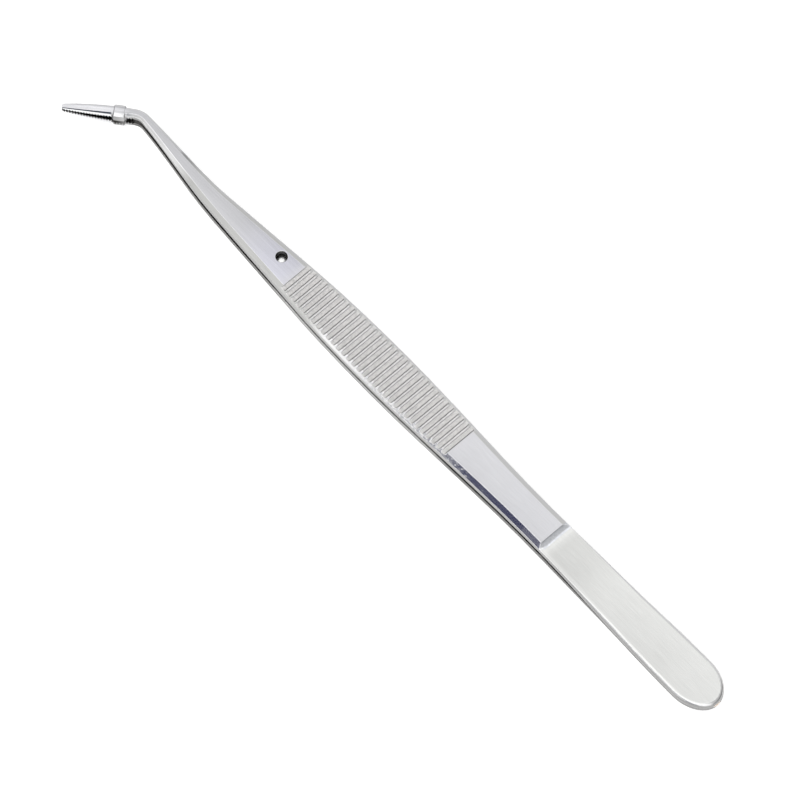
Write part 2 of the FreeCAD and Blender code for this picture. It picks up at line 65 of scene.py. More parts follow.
# Height of the lower jaw's inner face at its start and at the tip.
ROOT_HEIGHT = 0.00125
TIP_HEIGHT = 0.002
# The collar's centre along the jaw, and half its length.
COLLAR_CENTRE = 0.0026
COLLAR_HALF = 0.001375
# How level faces are, as the upright part of their normals: where flats and bevels begin.
FLAT_LEVEL = (0.965, 0.985)
BEVEL_LEVEL = (0.5, 0.7)
# Heights from the mid-plane: where an arm's outside begins, and where a groove is sunk in it.
OUTSIDE = (0.0012, 0.0014)
SUNK = (MID_HEIGHT - 0.00002, MID_HEIGHT - 0.00008)
# The eased near rim of the paddle, as room that is left to its edge.
RIM = (0.00095, 0.00045)
# The radius to which the pin's and the weld's corners are rounded in the shading.
SMALL_CORNER = 0.00005
WHITE = (1.0, 1.0, 1.0, 1.0)


class Grain(Enum):
    """What the grain group gives, each centred on 0."""

    HEIGHT = "Height"
    TONE = "Tone"
    CLOUD = "Cloud"
    SPECKLE = "Speckle"
    STREAK = "Streak"


class Zone(Enum):
    """An arm's differently finished places, and what tells them apart."""

    # By the direction of the face.
    FLAT = "Flat"
    BEVEL = "Bevel"
    NEAR = "Near"
    INNER = "Inner"
    # Across the arm, from -0.5 to 0.5, and the lower arm.
    ACROSS = "Across"
    UNDER = "Under"
    # The row of grooves, their floors, their hollow sides and their steep sides.
    ROW = "Row"
    GROOVE = "Groove"
    FOOT = "Foot"
    WALL = "Wall"
    # The paddle, its butt end, its curve before the step, and its near rim.
    PADDLE = "Paddle"
    BUTT = "Butt"
    SPRING = "Spring"
    RIM = "Rim"
    # The dip before the step, and the step's hollow.
    APPROACH = "Approach"
    HOLLOW = "Hollow"
    # The bevel's first pass, its worn part, and the stretch along the grooves with nicks, where
    # the painted shade on the lower sides and the inner faces is lighter.
    PASS = "Pass"
    WORN = "Worn"
    NICK = "Nick"
    # The shank, the stretch where its near bevel gets a painted darker reflection, its neck, the
    # bend, and the hole of the pin.
    SHANK = "Shank"
    DIM_BEVEL = "Dim Bevel"
    NECK = "Neck"
    BEND = "Bend"
    BORE = "Bore"
    # The jaw, its crown, the collar, the collar's chamfers, and the painted shade in the lower
    # teeth's notches.
    JAW = "Jaw"
    CROWN = "Crown"
    COLLAR = "Collar"
    RAMP = "Ramp"
    NOTCH_SHADE = "Notch Shade"


Masks = dict[Zone, Socket]
Surface = dict[Grain, Socket]

# Where masks along the arms rise: the X where each is 0, and the X where it is 1.
SLOPES: dict[Zone, Pair] = {
    Zone.PADDLE: (STEP_X - 0.0002, STEP_X - 0.0013),
    Zone.BUTT: (BUTT_X + 0.013, BUTT_X + 0.001),
    Zone.PASS: (BUTT_X + 0.080, BUTT_X + 0.066),
    Zone.SHANK: (GROOVES_END_X - 0.001, GROOVES_END_X + 0.002),
    Zone.DIM_BEVEL: (BUTT_X + 0.094, BUTT_X + 0.101),
    Zone.NECK: (GROOVES_END_X + 0.004, GROOVES_END_X + 0.016),
    Zone.BEND: (BEND_X - 0.015, BEND_X - 0.007),
    Zone.JAW: (BEND_X + 0.001, BEND_X + 0.004),
}
# Where masks along the arms rise and fall: the middles of both, and their lengths.
STRETCHES: dict[Zone, tuple[float, float, float, float]] = {
    Zone.SPRING: (BUTT_X + 0.030, BUTT_X + 0.0392, 0.010, 0.0018),
    Zone.APPROACH: (STEP_X - 0.0018, STEP_X - 0.00128, 0.0010, 0.0001),
    Zone.HOLLOW: (STEP_X - 0.00128, STEP_X, 0.0001, 0.0001),
    Zone.WORN: (BUTT_X + 0.062, BUTT_X + 0.084, 0.028, 0.010),
    Zone.NICK: (BUTT_X + 0.066, BUTT_X + 0.108, 0.008, 0.008),
    Zone.ROW: (GROOVES_START_X, GROOVES_END_X, 0.0001, 0.0001),
}


class NodeBuilder:
    """Adds and links shader nodes in one tree.

    Args:
        tree: the node tree that the nodes go into.
    """

    def __init__(self, tree: Tree) -> None:
        self.tree = tree

    def add(self, kind: str, **settings: object) -> Node:
        """Adds one node of a kind, with its settings."""
        node = self.tree.nodes.new(kind)
        for name, value in settings.items():
            setattr(node, name, value)
        return node

    def feed(self, socket: Socket, value: Value) -> None:
        """Links a socket to the input, or sets the input to a number, colour or vector."""
        if isinstance(value, bpy.types.NodeSocket):
            self.tree.links.new(value, socket)
        else:
            socket.default_value = value

    def math(self, operation: str, *values: Value) -> Socket:
        """The result of one Math node over its values, in order."""
        node = self.add("ShaderNodeMath", operation=operation)
        for socket, value in zip(node.inputs, values):
            self.feed(socket, value)
        return node.outputs[0]

    def times(self, first: Value, *others: Value) -> Socket:
        """The product of its values."""
        for other in others:
            first = self.math("MULTIPLY", first, other)
        return first

    def dot(self, vector: Socket, direction: Value) -> Socket:
        """The vector's length along a direction."""
        node = self.add("ShaderNodeVectorMath", operation="DOT_PRODUCT")
        self.feed(node.inputs[0], vector)
        self.feed(node.inputs[1], direction)
        return node.outputs["Value"]

    def split(self, vector: Socket) -> Sockets:
        """The vector's X, Y and Z."""
        node = self.add("ShaderNodeSeparateXYZ")
        self.feed(node.inputs[0], vector)
        return node.outputs[0], node.outputs[1], node.outputs[2]

    def step(self, value: Value, low: float, high: float) -> Socket:
        """A smooth step from 0 at the low value to 1 at the high one.

        Args:
            value: a socket or number.
            low: where the step starts.
            high: where the step ends; below the low value, the step falls.

        Returns:
            The step's socket.
        """
        node = self.add("ShaderNodeMapRange", interpolation_type="SMOOTHSTEP")
        self.feed(node.inputs["Value"], value)
        rises = high > low
        node.inputs["From Min"].default_value = low if rises else high
        node.inputs["From Max"].default_value = high if rises else low
        node.inputs["To Min"].default_value = 0.0 if rises else 1.0
        node.inputs["To Max"].default_value = 1.0 if rises else 0.0
        return node.outputs["Result"]

    def mix(self, amount: Value, first: Value, second: Value) -> Socket:
        """The first colour where the amount is 0, and the second where it is 1."""
        node = self.add("ShaderNodeMix", data_type="RGBA")
        self.feed(node.inputs[0], amount)
        self.feed(node.inputs[6], first)
        self.feed(node.inputs[7], second)
        return node.outputs[2]

    def blend(self, amount: Value, first: Value, second: Value) -> Socket:
        """The first number where the amount is 0, and the second where it is 1."""
        node = self.add("ShaderNodeMix", data_type="FLOAT")
        self.feed(node.inputs[0], amount)
        self.feed(node.inputs[2], first)
        self.feed(node.inputs[3], second)
        return node.outputs[0]

    def noise(self, vector: Socket, scale: float, detail: float, rough: float = 0.5) -> Socket:
        """Noise over a vector, with its scale, its octaves and their strength."""
        node = self.add("ShaderNodeTexNoise")
        self.feed(node.inputs["Vector"], vector)
        node.inputs["Scale"].default_value = scale
        node.inputs["Detail"].default_value = detail
        node.inputs["Roughness"].default_value = rough
        return node.outputs["Fac"]

    def stretched(self, vector: Socket, scale: Triple, turn: float = 0.0) -> Socket:
        """The vector scaled along each axis, after a turn about Z.

        Args:
            vector: the place that is read.
            scale: factors along X, Y and Z.
            turn: the turn in radians.

        Returns:
            The changed vector's socket.
        """
        source = vector
        if turn:
            rotate = self.add("ShaderNodeVectorRotate", rotation_type="Z_AXIS")
            self.feed(rotate.inputs["Vector"], vector)
            rotate.inputs["Angle"].default_value = turn
            source = rotate.outputs[0]
        node = self.add("ShaderNodeVectorMath", operation="MULTIPLY")
        self.feed(node.inputs[0], source)
        node.inputs[1].default_value = scale
        return node.outputs[0]

    def shade(self, shader: Node, colour: Value, tone: Socket) -> None:
        """Gives a shader its base colour, times a tone."""
        node = self.add("ShaderNodeVectorMath", operation="SCALE")
        self.feed(node.inputs[0], colour)
        self.feed(node.inputs["Scale"], tone)
        self.feed(shader.inputs["Base Color"], node.outputs[0])

    def corners(self, radius: Value) -> tuple[Socket, Socket]:
        """The normal over slightly rounded corners, and where they are.

        Args:
            radius: the corners' radius.

        Returns:
            The normal's socket, and the socket of a mask that is 1 on the corners.
        """
        rounded = self.add("ShaderNodeBevel", samples=8)
        self.feed(rounded.inputs["Radius"], radius)
        true_normal = self.add("ShaderNodeNewGeometry").outputs["Normal"]
        likeness = self.dot(rounded.outputs[0], true_normal)
        return rounded.outputs[0], self.step(likeness, 0.999, 0.985)

    def relief(self, shader: Node, height: Socket, depth: float, rounded: Socket,
               lean: tuple[Value, Value, Value] = (0.0, 0.0, 0.0)) -> None:
        """Gives a shader its relief over slightly rounded corners.

        Args:
            shader: the Principled shader.
            height: the relief's height.
            depth: metres for a height of 1.
            rounded: the normal over the rounded corners.
            lean: how far the normal leans towards +X, +Y and +Z.
        """
        way = self.add("ShaderNodeCombineXYZ")
        for socket, value in zip(way.inputs, lean):
            self.feed(socket, value)
        leant = self.add("ShaderNodeVectorMath", operation="ADD")
        self.feed(leant.inputs[0], rounded)
        self.feed(leant.inputs[1], way.outputs[0])
        even = self.add("ShaderNodeVectorMath", operation="NORMALIZE")
        self.feed(even.inputs[0], leant.outputs[0])
        bump = self.add("ShaderNodeBump")
        bump.inputs["Strength"].default_value = 1.0
        bump.inputs["Distance"].default_value = depth
        self.feed(bump.inputs["Height"], height)
        self.feed(bump.inputs["Normal"], even.outputs[0])
        self.feed(shader.inputs["Normal"], bump.outputs[0])


@dataclass
class EffectGroup:
    """A shader node group with named inputs and outputs.

    Attributes:
        name: the group's name.
        kinds: the names of its outputs.
        tree: its node tree.
    """

    name: str
    kinds: type[Enum]
    tree: Tree = field(init=False)

    def __post_init__(self) -> None:
        """Makes the tree with its outputs."""
        self.tree = bpy.data.node_groups.new(self.name, "ShaderNodeTree")
        for kind in self.kinds:
            self.tree.interface.new_socket(
                name=kind.value, in_out="OUTPUT", socket_type="NodeSocketFloat")

    def value_in(self, name: str, default: float) -> None:
        """Adds a number input with its default."""
        socket = self.tree.interface.new_socket(
            name=name, in_out="INPUT", socket_type="NodeSocketFloat")
        socket.default_value = default

    def deliver(self, nodes: NodeBuilder, results: dict[Enum, Socket]) -> None:
        """Feeds the group's outputs."""
        end = nodes.add("NodeGroupOutput")
        for kind, result in results.items():
            nodes.feed(end.inputs[kind.value], result)

    def place(self, nodes: NodeBuilder, **values: Value) -> dict[Enum, Socket]:
        """Puts the group in a material.

        Args:
            nodes: the material's builder.
            values: inputs by name, with underscores for spaces.

        Returns:
            The outputs by kind.
        """
        node = nodes.add("ShaderNodeGroup")
        node.node_tree = self.tree
        for name, value in values.items():
            nodes.feed(node.inputs[name.replace("_", " ")], value)
        return {kind: node.outputs[kind.value] for kind in self.kinds}


class GrainGroup(EffectGroup):
    """Lengthwise grinding lines, fine scratches, soft streaks and cloudiness on steel."""

    def __init__(self) -> None:
        super().__init__("steel_grain", Grain)
        self.value_in("Line Strength", 1.0)
        self.value_in("Speckle Strength", 0.0)
        nodes = NodeBuilder(self.tree)
        given = nodes.add("NodeGroupInput").outputs
        place = self.along_piece(nodes)
        lines = nodes.noise(nodes.stretched(place, (260.0, 9000.0, 9000.0)), 1.0, 2.0, 0.6)
        scratches = nodes.noise(
            nodes.stretched(place, (120.0, 16000.0, 16000.0), turn=0.06), 1.0, 1.0)
        streaks = nodes.noise(nodes.stretched(place, (55.0, 1900.0, 1900.0)), 1.0, 2.0, 0.6)
        clouds = nodes.noise(place, 160.0, 2.0)
        speckles = nodes.noise(nodes.stretched(place, (2300.0, 3600.0, 3600.0)), 1.0, 3.0, 0.7)
        fine = nodes.math("SUBTRACT", lines, 0.5)
        speckle = nodes.math("SUBTRACT", speckles, 0.5)
        height = nodes.math("ADD", nodes.times(fine, given["Line Strength"]),
                            nodes.times(speckle, given["Speckle Strength"]))
        cut = nodes.times(nodes.step(scratches, 0.70, 0.80), given["Line Strength"])
        self.deliver(nodes, {
            Grain.HEIGHT: nodes.math("SUBTRACT", height, nodes.times(cut, 0.4)),
            Grain.TONE: fine,
            Grain.CLOUD: nodes.math("SUBTRACT", clouds, 0.5),
            Grain.SPECKLE: speckle,
            Grain.STREAK: nodes.math("SUBTRACT", streaks, 0.5),
        })

    @staticmethod
    def along_piece(nodes: NodeBuilder) -> Socket:
        """The place on the piece, with its X along the arm and then along the turned jaw."""
        place = nodes.add("ShaderNodeTexCoord").outputs["Object"]
        along, _, _ = nodes.split(place)
        jaw = nodes.stretched(place, (1.0, 1.0, 1.0), turn=-JAW_TURN)
        node = nodes.add("ShaderNodeMix", data_type="VECTOR")
        nodes.feed(node.inputs[0], nodes.step(along, BEND_X - 0.0005, BEND_X + 0.0025))
        nodes.feed(node.inputs[4], place)
        nodes.feed(node.inputs[5], jaw)
        return node.outputs[1]


class ZoneGroup(EffectGroup):
    """Masks of an arm's differently finished places, from place and normal."""

    def __init__(self) -> None:
        super().__init__("arm_zones", Zone)
        nodes = NodeBuilder(self.tree)
        source = nodes.add("ShaderNodeTexCoord").outputs
        place, normal = nodes.split(source["Object"]), nodes.split(source["Normal"])
        masks = {zone: nodes.step(place[0], *slope) for zone, slope in SLOPES.items()}
        for zone, stretch in STRETCHES.items():
            masks[zone] = self.between(nodes, place[0], *stretch)
        self.add_faces(nodes, place, normal, masks)
        self.add_paddle(nodes, place, normal, masks)
        self.add_jaw(nodes, place, normal, masks)
        self.deliver(nodes, masks)

    def add_faces(self, nodes: NodeBuilder, place: Sockets, normal: Sockets,
                  masks: Masks) -> None:
        """Adds the masks of the faces' directions, of the grooves and of the pin's hole.

        Args:
            nodes: the group's builder.
            place: X, Y and Z of the place on the arm.
            normal: X, Y and Z of the face's normal.
            masks: the masks so far, which this adds to.
        """
        x, y, z = place
        level = nodes.math("ABSOLUTE", normal[2])
        above = nodes.math("SUBTRACT", z, MID_HEIGHT)
        height = nodes.math("ABSOLUTE", above)
        masks[Zone.FLAT] = nodes.step(level, *FLAT_LEVEL)
        masks[Zone.BEVEL] = nodes.times(nodes.step(level, *FLAT_LEVEL[::-1]),
                                        nodes.step(level, *BEVEL_LEVEL))
        masks[Zone.NEAR] = nodes.step(normal[1], 0.1, 0.3)
        masks[Zone.ACROSS] = nodes.math("SUBTRACT", self.ramp(nodes, y, -0.003, 0.003), 0.5)
        masks[Zone.UNDER] = nodes.step(above, 0.0002, -0.0002)
        masks[Zone.INNER] = nodes.times(
            nodes.step(nodes.times(above, normal[2]), -2e-6, -8e-6),
            nodes.step(level, 0.25, 0.4))
        row = nodes.times(masks[Zone.ROW], nodes.step(height, *OUTSIDE),
                          nodes.step(nodes.math("ABSOLUTE", normal[1]), 0.30, 0.20))
        groove = nodes.times(row, nodes.step(height, *SUNK))
        masks[Zone.ROW] = row
        masks[Zone.GROOVE] = groove
        masks[Zone.FOOT] = nodes.times(groove, nodes.step(normal[0], 0.15, 0.5))
        masks[Zone.WALL] = nodes.times(groove, nodes.step(normal[0], -0.05, -0.30))
        away = nodes.math("SQRT", nodes.math(
            "ADD", self.square(nodes, x, PIN_X), self.square(nodes, y, PIN_Y)))
        masks[Zone.BORE] = nodes.times(
            nodes.step(away, HOLE_RADIUS + 0.000085, HOLE_RADIUS + 0.000025),
            nodes.step(height, MID_HEIGHT - 0.00005, MID_HEIGHT - 0.00015))

    def add_paddle(self, nodes: NodeBuilder, place: Sockets, normal: Sockets,
                   masks: Masks) -> None:
        """Adds the masks of the paddle's near rim and of the step's hollow.

        Args:
            nodes: the group's builder.
            place: X, Y and Z of the place on the arm.
            normal: X, Y and Z of the face's normal.
            masks: the masks so far, which this adds to.
        """
        level = nodes.math("ABSOLUTE", normal[2])
        masks[Zone.HOLLOW] = nodes.times(masks[Zone.HOLLOW], nodes.step(level, 0.45, 0.55))
        x, y, _ = place
        waist = nodes.step(x, BUTT_X + PADDLE_ROUND, BUTT_X + WAIST)
        half = nodes.math("MULTIPLY_ADD", waist, WAIST_HALF - PADDLE_HALF, PADDLE_HALF)
        back = nodes.math("SUBTRACT", BUTT_X + PADDLE_ROUND, x)
        back = nodes.math("MAXIMUM", nodes.math("DIVIDE", back, PADDLE_ROUND), 0.0)
        cap = nodes.math("SUBTRACT", 1.0, nodes.times(back, back))
        cap = nodes.math("SQRT", nodes.math("MAXIMUM", cap, 0.0))
        room = nodes.math("SUBTRACT", nodes.times(half, cap), y)
        masks[Zone.RIM] = nodes.times(nodes.step(room, *RIM), masks[Zone.PADDLE],
                                      nodes.step(level, 0.8, 0.95))

    def add_jaw(self, nodes: NodeBuilder, place: Sockets, normal: Sockets,
                masks: Masks) -> None:
        """Adds the masks of the jaw's crown, collar, chamfers, and of the painted shade in the
        tooth notches.

        Args:
            nodes: the group's builder.
            place: X, Y and Z of the place on the arm.
            normal: X, Y and Z of the face's normal.
            masks: the masks so far, which this adds to.
        """
        along, across = math.cos(JAW_TURN), math.sin(JAW_TURN)
        way = nodes.add("ShaderNodeCombineXYZ")
        nodes.feed(way.inputs["X"], nodes.math("SUBTRACT", place[0], JAW_START[0]))
        nodes.feed(way.inputs["Y"], nodes.math("SUBTRACT", place[1], JAW_START[1]))
        reach = nodes.dot(way.outputs[0], (along, across, 0.0))
        offset = nodes.dot(way.outputs[0], (-across, along, 0.0))
        facing = nodes.math("ADD", nodes.times(normal[0], along), nodes.times(normal[1], across))
        jaw = masks[Zone.JAW]
        # The near part of the jaw's flat, which carries a painted highlight.
        masks[Zone.CROWN] = nodes.times(jaw, nodes.step(offset, -0.00050, -0.00015))
        masks[Zone.COLLAR] = nodes.times(jaw, self.between(
            nodes, reach, COLLAR_CENTRE - COLLAR_HALF, COLLAR_CENTRE + COLLAR_HALF,
            0.0001, 0.0001))
        masks[Zone.RAMP] = nodes.times(
            jaw, nodes.step(nodes.math("ABSOLUTE", facing), 0.25, 0.45))
        # Painted shade: the lower jaw's side is darkened in a notch pattern under its teeth.
        masks[Zone.NOTCH_SHADE] = nodes.times(
            self.notches(nodes, reach, place[2]), nodes.times(jaw, masks[Zone.UNDER]),
            nodes.step(nodes.math("ABSOLUTE", normal[2]), 0.6, 0.4))

    @staticmethod
    def square(nodes: NodeBuilder, value: Socket, middle: float) -> Socket:
        """The square of a value's distance from its middle."""
        apart = nodes.math("SUBTRACT", value, middle)
        return nodes.times(apart, apart)

    @staticmethod
    def ramp(nodes: NodeBuilder, value: Socket, low: float, high: float) -> Socket:
        """A straight rise from 0 at the low value to 1 at the high one."""
        node = nodes.add("ShaderNodeMapRange")
        nodes.feed(node.inputs["Value"], value)
        node.inputs["From Min"].default_value = low
        node.inputs["From Max"].default_value = high
        return node.outputs["Result"]

    @staticmethod
    def notches(nodes: NodeBuilder, reach: Socket, z: Socket) -> Socket:
        """A mask of painted shade in the notches between the lower jaw's teeth, drawn deeper than
        the cut notches.

        Args:
            nodes: the group's builder.
            reach: the place along the jaw.
            z: the place's height.

        Returns:
            The mask's socket.
        """
        phase = nodes.math("DIVIDE", nodes.math("SUBTRACT", JAW_LENGTH, reach), TOOTH_PITCH)
        part = nodes.math("FRACT", nodes.math("ADD", phase, 0.5))
        notch = nodes.math("ABSOLUTE", nodes.math("SUBTRACT", part, 0.5))
        notch = nodes.math("MULTIPLY_ADD", notch, -2.0, 1.0)
        rise = (TIP_HEIGHT - ROOT_HEIGHT) / JAW_LENGTH
        inner = nodes.math("MULTIPLY_ADD", reach, rise, ROOT_HEIGHT)
        bottom = nodes.math("MULTIPLY_ADD", notch, -NOTCH_SHADE_DEPTH, inner)
        return nodes.step(nodes.math("SUBTRACT", z, bottom), -0.00004, 0.00004)

    @staticmethod
    def between(nodes: NodeBuilder, value: Socket, low: float, high: float, rise: float,
                fall: float) -> Socket:
        """A mask that is 1 between two values.

        Args:
            nodes: the group's builder.
            value: the value that is masked.
            low: middle of the rise.
            high: middle of the fall.
            rise: length of the rise.
            fall: length of the fall.

        Returns:
            The mask's socket.
        """
        return nodes.times(nodes.step(value, low - rise / 2, low + rise / 2),
                           nodes.step(value, high + fall / 2, high - fall / 2))


@dataclass(frozen=True)
class ArmSteel:
    """Ground and polished stainless steel of the arms, with painted reflections, highlights and
    shade in its colours.

    Attributes:
        name: the material's name.
        paddle: colour of the spring paddle.
        flat: colour of the grip's ground flats.
        shank: colour of the shank's flats.
        neck: colour of the flats from the middle of the shank to the tips.
        groove: colour of the pressed groove floors.
        land: colour of the lands between the grooves.
        foot: painted dark reflection on the grooves' hollow side.
        wall: painted highlight on the grooves' steep side.
        hollow: colour of the step's hollow, with a painted bluish reflection.
        bevel: colour of the polished bevels.
        shank_bevel_reflection: painted darker reflection on the near bevels along the shank.
        far_bevel_reflection: painted darker reflection on the far bevels before and along the
            bend.
        bend_bevel_highlight: painted highlight on the near bevels along the bend.
        jaw_bevel_reflection: painted dark reflection on the narrow near bevels of the jaws.
        edge: colour of the upper arm's narrow sides, ground, and darkened as a painted dark
            reflection.
        low_side_shade: painted shade on the lower arm's narrow sides.
        butt_side_shade: lighter painted shade on the lower arm's side round the butt.
        grip_side_shade: lighter painted shade on the lower arm's sides along the grooves.
        jaw_side_highlight: painted bright reflection on the jaws' polished sides.
        ramp: painted dark reflection on the collars' chamfered ends.
        inner: colour of the inner faces, darkened as painted shade between the arms.
        grip_inner: lighter colour of the inner faces along the grooves, where no painted shade is
            put.
        teeth: colour of the jaws' toothed inner faces, darkened as painted shade between the jaws.
        notch_shade: painted shade in the notches between the lower teeth, drawn deeper than the
            cut notches.
        notch_shade_sheen: the part of the sheen that the painted notch shade keeps at a low angle.
        bore_shade: painted shade on the drilled hole's wall.
        flat_roughness: roughness of the ground flats.
        bevel_roughness: roughness of the polished bevels.
        groove_roughness: roughness of the groove floors.
        edge_roughness: roughness of the sides.
        cloud_roughness: how far the roughness varies.
        worn_gain: how much rougher the worn near bevel is.
        line_tone: how far the grinding lines change the tone.
        cloud_tone: how far the clouds change it.
        streak_tones: how far the streaks change it on the grip, the shank and the jaws.
        row_speckle: how far the speckles change it among the grooves.
        hollow_speckle: how far they change it in the step's hollow.
        across_shading: painted light and shade across the flats of the grip and of the shank.
        crown_highlight_tones: painted highlight along the near part of the jaw's flat, on painted
            shade over the whole flat.
        butt_painted_light: painted light that makes the paddle lighter at the butt.
        spring_painted_shade: painted shade that makes the paddle darker before the step.
        corner_highlight: painted highlight that makes the polished corners lighter.
        pass_tilt: tilt of the first grinding pass of the bevels towards the butt.
        foot_tilt: how far the paddle is hollowed before the step.
        rim_tilt: how far the paddle's near rim is eased over.
        rim_lift: how far it still faces up.
        worn_tilt: how far the worn near bevel's facets lean to both sides.
        relief: height of the grain.
        corner: radius that the polish leaves on the arms' corners.
        jaw_corner: radius that it leaves on the jaws' corners.
    """

    name: str = "ground_arm_steel"
    paddle: Colour = (0.735, 0.738, 0.724, 1.0)
    flat: Colour = (0.675, 0.675, 0.700, 1.0)
    shank: Colour = (0.620, 0.620, 0.685, 1.0)
    neck: Colour = (0.590, 0.590, 0.610, 1.0)
    groove: Colour = (0.620, 0.610, 0.602, 1.0)
    land: Colour = (0.700, 0.694, 0.690, 1.0)
    # Painted dark reflection on the grooves' hollow side.
    foot: Colour = (0.200, 0.198, 0.200, 1.0)
    # Painted highlight on the grooves' steep side.
    wall: Colour = (0.950, 0.945, 0.940, 1.0)
    # The step's hollow, tinted with a painted bluish reflection.
    hollow: Colour = (0.740, 0.755, 0.790, 1.0)
    bevel: Colour = (0.750, 0.750, 0.750, 1.0)
    # Painted darker reflection on the shank's near bevels.
    shank_bevel_reflection: Colour = (0.460, 0.460, 0.450, 1.0)
    # Painted darker reflection on the far bevels along the bend.
    far_bevel_reflection: Colour = (0.400, 0.400, 0.405, 1.0)
    # Painted highlight on the near bevels along the bend.
    bend_bevel_highlight: Colour = (0.950, 0.950, 0.950, 1.0)
    # Painted dark reflection on the jaws' narrow near bevels.
    jaw_bevel_reflection: Colour = (0.150, 0.165, 0.200, 1.0)
    # The upper arm's ground sides, darkened as a painted dark reflection.
    edge: Colour = (0.330, 0.328, 0.325, 1.0)
    # Painted shade on the lower arm's sides: darkest, round the butt, and along the grooves.
    low_side_shade: Colour = (0.130, 0.127, 0.122, 1.0)
    butt_side_shade: Colour = (0.260, 0.258, 0.255, 1.0)
    grip_side_shade: Colour = (0.300, 0.296, 0.290, 1.0)
    # Painted bright reflection on the jaws' polished sides.
    jaw_side_highlight: Colour = (0.850, 0.850, 0.855, 1.0)
    # Painted dark reflection on the collars' chamfered ends.
    ramp: Colour = (0.180, 0.180, 0.185, 1.0)
    # Painted shade between the arms, and the lighter inner faces along the grooves.
    inner: Colour = (0.300, 0.296, 0.290, 1.0)
    grip_inner: Colour = (0.850, 0.845, 0.840, 1.0)
    # Painted shade between the jaws, on their teeth.
    teeth: Colour = (0.200, 0.198, 0.195, 1.0)
    # Painted shade in the lower teeth's notches, and the sheen that it keeps.
    notch_shade: Colour = (0.035, 0.033, 0.030, 1.0)
    notch_shade_sheen: Colour = (0.42, 0.42, 0.42, 1.0)
    # Painted shade on the drilled hole's wall.
    bore_shade: Colour = (0.030, 0.030, 0.032, 1.0)
    flat_roughness: float = 0.24
    bevel_roughness: float = 0.10
    groove_roughness: float = 0.30
    edge_roughness: float = 0.27
    cloud_roughness: float = 0.06
    worn_gain: float = 0.03
    line_tone: float = 0.16
    cloud_tone: float = 0.08
    streak_tones: Triple = (0.05, 0.22, 0.60)
    row_speckle: float = 1.2
    hollow_speckle: float = 0.72
    across_shading: Pair = (-0.07, 0.24)
    crown_highlight_tones: Pair = (0.36, -0.16)
    butt_painted_light: float = 0.03
    spring_painted_shade: float = 0.10
    corner_highlight: float = 0.35
    pass_tilt: float = 0.018
    foot_tilt: float = 0.12
    rim_tilt: float = 0.30
    rim_lift: float = 1.5
    worn_tilt: float = 1.2
    relief: float = 0.0000025
    corner: float = 0.00014
    jaw_corner: float = 0.00003

    def build(self, grain: GrainGroup, zones: ZoneGroup) -> bpy.types.Material:
        """Makes the material.

        Args:
            grain: the shared grain group.
            zones: the shared group of an arm's zones.

        Returns:
            The material.
        """
        material, nodes, shader = new_metal(self.name)
        zone = zones.place(nodes)
        near_bevel = nodes.times(zone[Zone.BEVEL], zone[Zone.NEAR])
        worn = nodes.times(near_bevel, zone[Zone.WORN])
        surface = self.surface(nodes, grain, zone, worn)
        rounded, corner = nodes.corners(
            nodes.blend(zone[Zone.JAW], self.corner, self.jaw_corner))
        tone = self.tone(nodes, zone, surface)
        # Painted highlight: the polished corners, outside the inner faces, are made lighter.
        polished = nodes.times(corner, nodes.math("SUBTRACT", 1.0, zone[Zone.INNER]))
        tone = nodes.math("MULTIPLY_ADD", polished, self.corner_highlight, tone)
        nodes.shade(shader, self.colour(nodes, zone, near_bevel), tone)
        # The painted notch shade keeps only part of the steel's sheen.
        nodes.feed(shader.inputs["Specular Tint"],
                   nodes.mix(zone[Zone.NOTCH_SHADE], WHITE, self.notch_shade_sheen))
        nodes.feed(shader.inputs["Roughness"], self.roughness(nodes, zone, surface, worn))
        turned = nodes.times(near_bevel, zone[Zone.PASS], -self.pass_tilt)
        turned = nodes.math("MULTIPLY_ADD", zone[Zone.APPROACH], -self.foot_tilt, turned)
        flicker = nodes.times(worn, surface[Grain.SPECKLE], self.worn_tilt)
        eased = nodes.math("MULTIPLY_ADD", zone[Zone.RIM], self.rim_tilt, flicker)
        levelled = nodes.times(zone[Zone.RIM], self.rim_lift)
        nodes.relief(shader, surface[Grain.HEIGHT], self.relief, rounded,
                     lean=(turned, eased, levelled))
        return material

    def surface(self, nodes: NodeBuilder, grain: GrainGroup, zone: Masks,
                worn: Socket) -> Surface:
        """The grain, with lines on ground faces and speckles on pressed and worn ones.

        Args:
            nodes: the material's builder.
            grain: the shared grain group.
            zone: the zones' masks.
            worn: the mask of the worn near bevel.

        Returns:
            The grain's values.
        """
        lines = nodes.blend(zone[Zone.BEVEL], 1.0, nodes.blend(zone[Zone.SHANK], 0.3, 1.6))
        lines = nodes.blend(zone[Zone.ROW], lines, 0.0)
        nicks = nodes.math("MULTIPLY_ADD", zone[Zone.NICK], 2.4, 0.2)
        face = nodes.math("MAXIMUM", zone[Zone.FLAT], zone[Zone.BEVEL])
        nicks = nodes.blend(face, nicks, 0.0)
        nicks = nodes.math("MULTIPLY_ADD", zone[Zone.HOLLOW], 2.0, nicks)
        speckles = nodes.blend(worn, nodes.blend(zone[Zone.ROW], nicks, 4.0), 5.0)
        return grain.place(nodes, Line_Strength=lines, Speckle_Strength=speckles)

